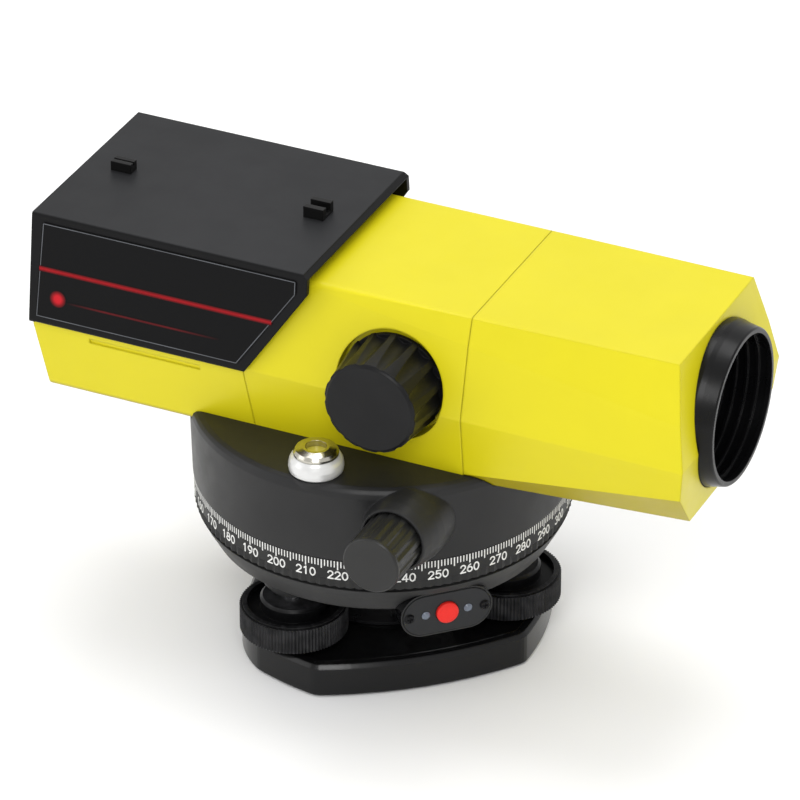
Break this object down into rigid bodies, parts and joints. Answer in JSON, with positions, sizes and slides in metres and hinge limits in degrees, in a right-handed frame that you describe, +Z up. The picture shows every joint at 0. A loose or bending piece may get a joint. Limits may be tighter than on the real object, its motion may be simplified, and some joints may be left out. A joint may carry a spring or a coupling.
{
  "type": "automatic laser level",
  "caption": "Yellow and black surveying level: telescope on a graduated turning base with foot screws, focusing knob, slow-motion drive, bubble and laser keypad.",
  "frame": {"origin": "on the tripod thread's axis, at the underside of the foot plate", "axes": "+X along the line of sight to the objective, +Y to the side away from the bubble, +Z up"},
  "size_m": [0.2205, 0.143, 0.1343],
  "materials": {
    "yellow_shell": "glossy yellow enamel on thin cast alloy",
    "black_cast": "semi-gloss black enamel on cast alloy",
    "black_plate": "gloss black enamel",
    "circle_black": "satin black with white graduations",
    "black_knob": "satin black moulded plastic",
    "cover_black": "satin black moulded plastic",
    "label_dark": "dark printed film with a red line",
    "keypad_black": "satin black",
    "screw_dark": "blackened steel",
    "lamp": "clear indicator lens",
    "button_red": "red moulded button",
    "board": "solder mask",
    "steel": "turned steel",
    "brass": "turned brass",
    "friction_rubber": "dark rubber",
    "white_seat": "white moulded plastic",
    "chrome_cap": "polished",
    "vial_glass": "pale green spirit",
    "lens_glass": "coated optical glass",
    "optics_black": "black anodised aluminium",
    "eyepiece_black": "satin black, ribbed",
    "battery": "printed sleeve"
  },
  "bodies": {
    "foot_base": {"foot_plate": "black_plate", "thread_bush": "steel", "spring_plate": "steel", "spring_plate_screws": "steel"},
    "tribrach": {"levelling_base": "black_cast", "foot_screw_bushes": "brass", "vertical_spindle": "steel", "spindle_nut": "steel", "friction_washer": "friction_rubber", "keypad_housing": "keypad_black", "keypad_plate": "keypad_black", "keypad_screws": "screw_dark", "led_lenses": "lamp", "keypad_board": "board"},
    "foot_pad_1": {"foot_ball_1": "brass"},
    "foot_screw_1": {"foot_knob_1": "black_knob", "foot_spindle_1": "steel"},
    "foot_screw_2": {"foot_knob_2": "black_knob", "foot_spindle_2": "steel", "foot_ball_2": "brass"},
    "foot_screw_3": {"foot_knob_3": "black_knob", "foot_spindle_3": "steel", "foot_ball_3": "brass"},
    "laser_key": {"laser_button": "button_red"},
    "circle": {"circle_ring": "circle_black"},
    "clutch_wheel": {"worm_wheel": "brass"},
    "alidade": {"upper_base": "black_cast", "bearing_sleeve": "brass", "bubble_seat": "white_seat", "bubble_vial": "vial_glass", "bubble_cap": "chrome_cap", "body_screws": "screw_dark", "rear_housing": "yellow_shell", "middle_housing": "yellow_shell", "front_housing": "yellow_shell", "top_cover": "cover_black", "open_sights": "cover_black", "label_plates": "label_dark", "objective_hood": "optics_black", "objective_cell": "optics_black", "objective_lens": "lens_glass", "focus_guide": "optics_black", "compensator_frame": "optics_black", "fixed_prisms": "lens_glass", "damping_magnet": "steel", "reticle": "lens_glass", "eyepiece_tube": "optics_black", "laser_module": "brass", "battery_pack": "battery"},
    "tangent_screw": {"tangent_shaft": "steel", "tangent_worm": "steel", "tangent_knob_near": "black_knob", "tangent_knob_far": "black_knob"},
    "focus_drive": {"focus_knob": "black_knob", "focus_pinion": "steel"},
    "focus_lens": {"focus_carriage": "optics_black", "focusing_lens": "lens_glass"},
    "pendulum": {"compensator_pendulum": "brass"},
    "eyepiece": {"eyepiece_ring": "eyepiece_black", "eyepiece_lens": "lens_glass"}
  },
  "joints": [
    {"name": "base_tilt", "type": "hinge", "parent": "foot_base", "child": "tribrach", "pos_m": [0.0062, 0.0178, 0.007], "axis": [-0.9444, 0.3289, 0], "range_deg": [-1.5, 1.5]},
    {"name": "foot_1_travel", "type": "slide", "parent": "tribrach", "child": "foot_pad_1", "axis": [0, 0, 1], "range_m": [-0.0016, 0.0016]},
    {"name": "foot_1_turn", "type": "hinge", "parent": "foot_pad_1", "child": "foot_screw_1", "pos_m": [-0.0124, -0.0356, 0.016], "axis": [0, 0, 1], "range_deg": [-360, 360]},
    {"name": "foot_2_turn", "type": "hinge", "parent": "tribrach", "child": "foot_screw_2", "pos_m": [0.03703, 0.00706, 0.016], "axis": [0, 0, 1], "range_deg": [-360, 360]},
    {"name": "foot_3_turn", "type": "hinge", "parent": "tribrach", "child": "foot_screw_3", "pos_m": [-0.02463, 0.02854, 0.016], "axis": [0, 0, 1], "range_deg": [-360, 360]},
    {"name": "laser_key_travel", "type": "slide", "parent": "tribrach", "child": "laser_key", "axis": [-0.7071, 0.7071, 0], "range_m": [0, 0.0005], "stiffness_N_per_m": 600, "springref_m": -0.0003},
    {"name": "circle_turn", "type": "hinge", "parent": "tribrach", "child": "circle", "pos_m": [0, 0, 0.047], "axis": [0, 0, 1], "continuous": true},
    {"name": "coarse_azimuth", "type": "hinge", "parent": "tribrach", "child": "clutch_wheel", "pos_m": [0, 0, 0.056], "axis": [0, 0, 1], "continuous": true},
    {"name": "fine_azimuth", "type": "hinge", "parent": "clutch_wheel", "child": "alidade", "pos_m": [0, 0, 0.056], "axis": [0, 0, 1], "continuous": true},
    {"name": "tangent_turn", "type": "hinge", "parent": "alidade", "child": "tangent_screw", "pos_m": [0.0294, 0, 0.0647], "axis": [0, 1, 0], "continuous": true},
    {"name": "focus_turn", "type": "hinge", "parent": "alidade", "child": "focus_drive", "pos_m": [0.0182, -0.035, 0.101], "axis": [0, 1, 0], "range_deg": [-140, 210]},
    {"name": "focus_travel", "type": "slide", "parent": "alidade", "child": "focus_lens", "axis": [1, 0, 0], "range_m": [-0.012, 0.008]},
    {"name": "compensator_swing", "type": "hinge", "parent": "alidade", "child": "pendulum", "pos_m": [-0.046, 0, 0.1091], "axis": [0, 1, 0], "range_deg": [-0.6, 0.6]},
    {"name": "eyepiece_turn", "type": "hinge", "parent": "alidade", "child": "eyepiece", "pos_m": [-0.1, 0, 0.0995], "axis": [1, 0, 0], "range_deg": [-150, 150]}
  ],
  "couplings": [
    {"joint": "foot_1_travel", "follows": "base_tilt", "m_per_rad": -0.05655},
    {"joint": "foot_1_turn", "follows": "base_tilt", "ratio": -236.88},
    {"joint": "tangent_turn", "follows": "fine_azimuth", "ratio": 72},
    {"joint": "focus_travel", "follows": "focus_turn", "m_per_rad": -0.00315}
  ]
}
